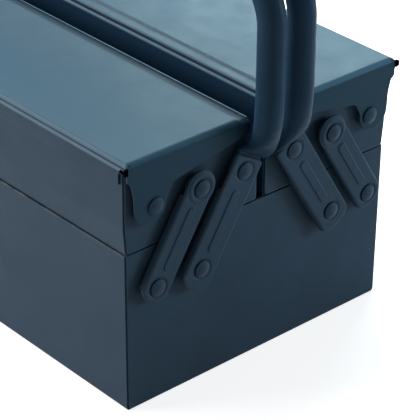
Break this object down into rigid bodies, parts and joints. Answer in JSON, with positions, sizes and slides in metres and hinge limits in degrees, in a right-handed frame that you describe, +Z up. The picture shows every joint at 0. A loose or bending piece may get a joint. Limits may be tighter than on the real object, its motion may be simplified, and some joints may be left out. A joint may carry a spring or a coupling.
{
  "type": "cantilever tool box",
  "caption": "Folded-steel tool box with a pair of lidded upper trays that swing up and apart on riveted links when the tube handles are spread.",
  "frame": {"origin": "middle of the flat base, on the surface the box stands on", "axes": "+X along the length of the box and its grips, +Y across it from the front tray to the rear tray, +Z up"},
  "size_m": [0.3912, 0.2312, 0.289],
  "materials": {
    "enamel": "satin slate-blue enamel on folded steel",
    "lid_enamel": "the same enamel, lighter where it faces up",
    "cap": "matte black end caps"
  },
  "bodies": {
    "box": {"body_wrap": "enamel", "body_end_left": "enamel", "body_end_right": "enamel", "body_rivets": "enamel", "body_spacers": "enamel"},
    "front_handle": {"front_handle": "enamel", "front_handle_rivets": "enamel", "front_inner_link_left": "enamel", "front_inner_link_right": "enamel"},
    "front_tray": {"front_tray_pan": "enamel", "front_tray_end_left": "enamel", "front_tray_end_right": "enamel", "front_tray_rivets": "enamel", "front_tray_spacers": "enamel"},
    "front_lid": {"front_lid": "lid_enamel", "front_lid_plugs": "cap"},
    "front_outer_links": {"front_outer_link_left": "enamel", "front_outer_link_right": "enamel"},
    "rear_handle": {"rear_handle": "enamel", "rear_handle_rivets": "enamel", "rear_inner_link_left": "enamel", "rear_inner_link_right": "enamel"},
    "rear_tray": {"rear_tray_pan": "enamel", "rear_tray_end_left": "enamel", "rear_tray_end_right": "enamel", "rear_tray_rivets": "enamel", "rear_tray_spacers": "enamel"},
    "rear_lid": {"rear_lid": "lid_enamel", "rear_lid_plugs": "cap"},
    "rear_outer_links": {"rear_outer_link_left": "enamel", "rear_outer_link_right": "enamel"}
  },
  "joints": [
    {"name": "front_fold", "type": "hinge", "parent": "box", "child": "front_handle", "pos_m": [0, -0.056, 0.0875], "axis": [1, 0, 0], "range_deg": [0, 62.5]},
    {"name": "front_tray_pivot", "type": "hinge", "parent": "front_handle", "child": "front_tray", "pos_m": [0, -0.021, 0.1445], "axis": [1, 0, 0], "range_deg": [-62.5, 0]},
    {"name": "front_lid_hinge", "type": "hinge", "parent": "front_tray", "child": "front_lid", "pos_m": [0, -0.091, 0.1445], "axis": [1, 0, 0], "range_deg": [0, 80]},
    {"name": "front_outer_pivot", "type": "hinge", "parent": "box", "child": "front_outer_links", "pos_m": [0, -0.091, 0.0875], "axis": [1, 0, 0], "range_deg": [0, 62.5]},
    {"name": "rear_fold", "type": "hinge", "parent": "box", "child": "rear_handle", "pos_m": [0, 0.056, 0.0875], "axis": [-1, 0, 0], "range_deg": [0, 62.5]},
    {"name": "rear_tray_pivot", "type": "hinge", "parent": "rear_handle", "child": "rear_tray", "pos_m": [0, 0.021, 0.1445], "axis": [-1, 0, 0], "range_deg": [-62.5, 0]},
    {"name": "rear_lid_hinge", "type": "hinge", "parent": "rear_tray", "child": "rear_lid", "pos_m": [0, 0.091, 0.1445], "axis": [-1, 0, 0], "range_deg": [0, 80]},
    {"name": "rear_outer_pivot", "type": "hinge", "parent": "box", "child": "rear_outer_links", "pos_m": [0, 0.091, 0.0875], "axis": [-1, 0, 0], "range_deg": [0, 62.5]}
  ],
  "couplings": [
    {"joint": "front_tray_pivot", "follows": "front_fold", "ratio": -1},
    {"joint": "front_outer_pivot", "follows": "front_fold", "ratio": 1},
    {"joint": "rear_tray_pivot", "follows": "rear_fold", "ratio": -1},
    {"joint": "rear_outer_pivot", "follows": "rear_fold", "ratio": 1}
  ]
}
